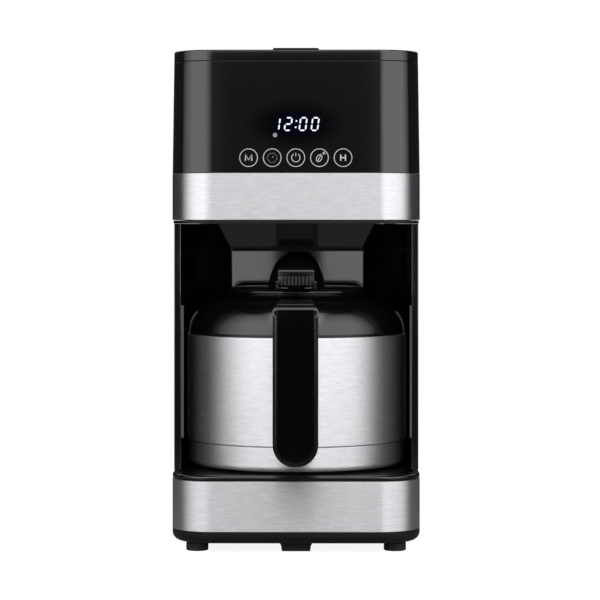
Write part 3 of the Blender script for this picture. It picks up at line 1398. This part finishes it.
def lid_dome(sides):
    """The twist-in lid: a rim over the carafe's mouth, a tall dome and two lugs for the lever's pin."""
    rim = [(46.2, 174.2), (46.2, 185), (52.5, 185, 0.3), (53, 186.6, 1)]
    rim += [(51, 188.9, 2), (48, 189.3), (21.6, 189.3)]
    dome = [(21.4, 190.0), (20.9, 194), (19.5, 199), (17, 205), (13.5, 210), (9.5, 213), (7.4, 213.4)]
    profile = [(4.5, 174.2), *eased(rim), *flowing(dome, 5), (5.6, 211.5), (4.5, 208)]
    lid = turned("lid_dome", profile, AXIS, sides, True)
    y0, y1 = PIN_Y - 3.5, PIN_Y + 3.5
    lug = eased([(y0, 188), (y1, 188), (y1, 196.2, 3), (y0, 196.2, 3)], closed=True)
    combine(lid, [prism("lug", lug, "X", x0, x1) for x0, x1 in ((-15, -11.4), (11.4, 15))], "UNION")
    combine(lid, [rod("hole", 3, "Z", 170, 195, (0, STEM_Y), 24), lever_bore()])
    return soften(lid, 0.3, 2)


def gasket():
    low, high = box_mm("lid_gasket")
    inner = 43.9
    section = [(inner, low.z), (high.x, low.z, 0.6), (high.x, high.z, 0.6), (inner, high.z)]
    return smooth(turned("gasket", eased(section, closed=True), AXIS, 96, True))


def thumb_pad():
    """The lever: a plate over the valve's stem and an upright pad, set back below for its ribs."""
    face, recess = PIN_Y - 31, PIN_Y - 30.2
    pad = [(PIN_Y - 8, 191.3), (PIN_Y - 20, 190.6, 3), (recess, 190.7, 3), (recess, 199.4, 0.3)]
    pad += [(face, 199.8, 0.4), (face, 204.6, 3), (PIN_Y - 14, 204.2, 8), (PIN_Y - 8, 195)]
    plate = block("thumb_pad", (-11, PIN_Y - 10, 191.3), (11, PIN_Y + 14, 195))
    combine(plate, [prism("pad", eased(pad, closed=True, steps=8), "X", -13, 13)], "UNION")
    slot = block("slot", (-3.2, STEM_Y - 4.5, 190), (3.2, STEM_Y + 6, 197))
    return soften(combine(plate, [slot, lever_bore()]), 0.3, 2)


def thumb_ribs():
    """Nine upright ribs on the pad, evenly spaced about its middle."""
    count, step, half = 9, 2.6, 0.6
    rib = block("thumb_ribs", (-half, PIN_Y - 31, 192), (half, PIN_Y - 29.6, 198.6))
    first = (-step * (count - 1) / 2, 0, 0)
    return soften(in_a_row(rib, count, first, (step, 0, 0), "satin_black"), 0.3, 2)


class COFFEE_OT_carafe_lid(Operator):
    """Domed carafe lid, gasket, ribbed thumb lever and pouring valve"""

    bl_idname = "coffee.carafe_lid"
    bl_label = "Carafe Lid"

    def execute(self, context):
        fit(lid_dome(sizes_of(context).turned_sides), "carafe_lid", "gloss_black", "carafe_lid")
        fit(gasket(), "carafe_lid", "silicone", "lid_gasket")
        fit(thumb_pad(), "thumb_lever", "satin_black", "thumb_lever", finish="gloss_black")
        fit(thumb_ribs(), "thumb_lever", "satin_black", finish="handle_black")
        return {"FINISHED"}


# ---- Parts behind the covers ----
def water_tank():
    """The clear tank, with a rounded foot and an open top."""
    low, high = box_mm("water_tank")
    wall = 2.2
    foot = low.z + wall

    def ring(inset, z):
        edge = Vector((inset, inset))
        return rounded_ring(low.xy + edge, high.xy - edge, 20 - inset, z)

    profile = eased([(3, low.z), (0, low.z, 2.5), (0, high.z), (wall, high.z), (wall, foot, 1.5), (6, foot)])
    return smooth(loft("tank", [ring(inset, z) for inset, z in profile]))


class COFFEE_OT_inner_parts(Operator):
    """Water tank, and finishes for the CAD nodes that stay as they are"""

    bl_idname = "coffee.inner_parts"
    bl_label = "Inner Parts"

    def execute(self, context):
        fit(water_tank(), "body", "smoke_clear", "water_tank")
        slots = {part["node"]: part["material_slot"] for part in frame["record"]["subparts"]}
        for name, node in frame["nodes"].items():
            if not node.hide_render:
                for slot in node.material_slots:
                    slot.material = MATERIALS[slots[name]]
        return {"FINISHED"}


BUILDERS = (
    COFFEE_OT_stage,
    COFFEE_OT_base,
    COFFEE_OT_bands,
    COFFEE_OT_column,
    COFFEE_OT_head,
    COFFEE_OT_display,
    COFFEE_OT_lid,
    COFFEE_OT_basket,
    COFFEE_OT_carafe,
    COFFEE_OT_handle,
    COFFEE_OT_carafe_lid,
    COFFEE_OT_inner_parts,
)


class COFFEE_PT_panel(Panel):
    """Lists the sizes, the finishes and the buttons that build each group of pieces"""

    bl_idname = "COFFEE_PT_panel"
    bl_label = "Drip Coffee Maker"
    bl_space_type = "VIEW_3D"
    bl_region_type = "UI"
    bl_category = "Coffee Maker"

    def draw(self, context):
        for group in (context.scene.coffee_maker_sizes, context.scene.coffee_maker_finishes):
            for key in type(group).__annotations__:
                self.layout.prop(group, key)
        for builder in BUILDERS:
            self.layout.operator(builder.bl_idname)


CLASSES = (CoffeeMakerSizes, CoffeeMakerFinishes, *BUILDERS, COFFEE_PT_panel)


def register():
    for cls in CLASSES:
        bpy.utils.register_class(cls)
    bpy.types.Scene.coffee_maker_sizes = PointerProperty(type=CoffeeMakerSizes)
    bpy.types.Scene.coffee_maker_finishes = PointerProperty(type=CoffeeMakerFinishes)


def unregister():
    del bpy.types.Scene.coffee_maker_finishes
    del bpy.types.Scene.coffee_maker_sizes
    for cls in reversed(CLASSES):
        bpy.utils.unregister_class(cls)


def main():
    register()
    make_materials(bpy.context.scene.coffee_maker_finishes)
    for builder in BUILDERS:
        group, name = builder.bl_idname.split(".")
        getattr(getattr(bpy.ops, group), name)()


if __name__ == "__main__":
    main()
